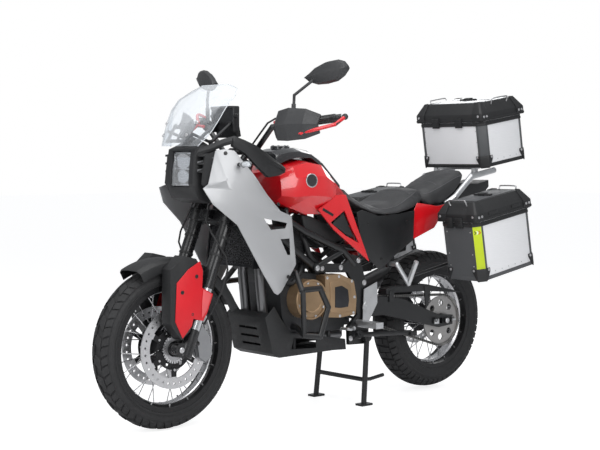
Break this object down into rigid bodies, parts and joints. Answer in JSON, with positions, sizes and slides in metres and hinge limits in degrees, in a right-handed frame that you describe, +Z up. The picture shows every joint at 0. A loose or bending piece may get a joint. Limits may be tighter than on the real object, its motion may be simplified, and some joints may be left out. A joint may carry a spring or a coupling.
{
  "type": "adventure motorcycle",
  "caption": "Adventure motorcycle with twin-lamp nose, clear screen, spoked wheels, steel-tube frame, hard aluminium side cases and top case, parked on its centre stand.",
  "frame": {"origin": "on the floor, under the middle of the vehicle's length and width", "axes": "+Z up, +Y to the rear, +X to the rider's left; the front wheel points along -Y"},
  "size_m": [0.976, 2.3322, 1.482],
  "materials": {
    "frame_black": "satin",
    "engine_grey": "matte",
    "bronze_metal": "satin",
    "dark_metal": "matte",
    "exhaust_steel": "satin",
    "red_paint": "gloss",
    "grey_gloss": "gloss",
    "silver_paint": "satin",
    "black_plastic": "matte",
    "lamp_glass": "clear",
    "clear_screen": "clear",
    "seat_cover": "matte",
    "silver_metal": "satin",
    "case_aluminium": "brushed",
    "shock_red": "satin",
    "chain_steel": "satin",
    "case_plastic": "matte",
    "tyre": "matte",
    "rim_black": "satin",
    "disc_steel": "brushed",
    "fork_black": "satin",
    "red_plastic": "satin",
    "hose_rubber": "matte"
  },
  "bodies": {
    "chassis": {"main_frame": "frame_black", "engine": "engine_grey", "engine_covers": "bronze_metal", "radiator": "dark_metal", "exhaust": "exhaust_steel", "fuel_tank": "red_paint", "tank_cover": "grey_gloss", "side_fairings": "silver_paint", "headlight_cowl": "black_plastic", "headlight": "lamp_glass", "windscreen": "clear_screen", "instrument_display": "black_plastic", "indicators": "lamp_glass", "bash_plate": "black_plastic", "crash_bars": "frame_black", "rider_seat": "seat_cover", "passenger_seat": "seat_cover", "side_panels": "black_plastic", "tail_panels": "red_paint", "luggage_rack": "silver_metal", "tail_fender": "black_plastic", "pannier_racks": "frame_black", "left_pannier": "case_aluminium", "right_pannier": "case_aluminium", "top_case": "case_aluminium", "foot_pegs": "silver_metal", "foot_controls": "silver_metal", "swingarm": "frame_black", "rear_shock": "shock_red", "chain": "chain_steel", "chain_guard": "black_plastic", "rear_caliper": "dark_metal"},
    "steering": {"fork": "fork_black", "handlebar": "fork_black", "hand_guards": "black_plastic", "mirrors": "black_plastic", "front_fender": "black_plastic", "fork_guards": "red_plastic", "front_calipers": "silver_metal", "brake_hoses": "hose_rubber"},
    "front_wheel": {"front_tyre": "tyre", "front_wheel": "rim_black", "front_brake_discs": "disc_steel"},
    "rear_wheel": {"rear_tyre": "tyre", "rear_wheel": "rim_black", "rear_sprocket": "chain_steel", "rear_brake_disc": "disc_steel"},
    "top_case_lid": {"top_case_lid": "case_plastic"},
    "left_pannier_lid": {"left_pannier_lid": "case_plastic"},
    "right_pannier_lid": {"right_pannier_lid": "case_plastic"},
    "side_stand": {"side_stand": "frame_black"},
    "centre_stand": {"centre_stand": "frame_black"}
  },
  "joints": [
    {"name": "steering_turn", "type": "hinge", "parent": "chassis", "child": "steering", "pos_m": [0, -0.77874, 0.32076], "axis": [0, 0.3746, 0.9272], "range_deg": [-36, 36]},
    {"name": "front_wheel_spin", "type": "hinge", "parent": "steering", "child": "front_wheel", "pos_m": [0, -0.83713, 0.329], "axis": [1, 0, 0], "continuous": true},
    {"name": "rear_wheel_spin", "type": "hinge", "parent": "chassis", "child": "rear_wheel", "pos_m": [0, 0.68287, 0.329], "axis": [1, 0, 0], "continuous": true},
    {"name": "side_stand_fold", "type": "hinge", "parent": "chassis", "child": "side_stand", "pos_m": [0.176, 0.07687, 0.318], "axis": [-0.9063, 0, -0.4226], "range_deg": [0, 92]},
    {"name": "centre_stand_fold", "type": "hinge", "parent": "chassis", "child": "centre_stand", "pos_m": [0, 0.14786, 0.3], "axis": [1, 0, 0], "range_deg": [0, 75]},
    {"name": "top_case_lid_hinge", "type": "hinge", "parent": "chassis", "child": "top_case_lid", "pos_m": [0, 1.14435, 1.30563], "axis": [-1, 0, 0], "range_deg": [0, 95]},
    {"name": "left_pannier_lid_hinge", "type": "hinge", "parent": "chassis", "child": "left_pannier_lid", "pos_m": [0.369, 0.87054, 0.8697], "axis": [-1, 0, 0], "range_deg": [0, 95]},
    {"name": "right_pannier_lid_hinge", "type": "hinge", "parent": "chassis", "child": "right_pannier_lid", "pos_m": [-0.369, 0.87054, 0.8697], "axis": [-1, 0, 0], "range_deg": [0, 95]}
  ]
}
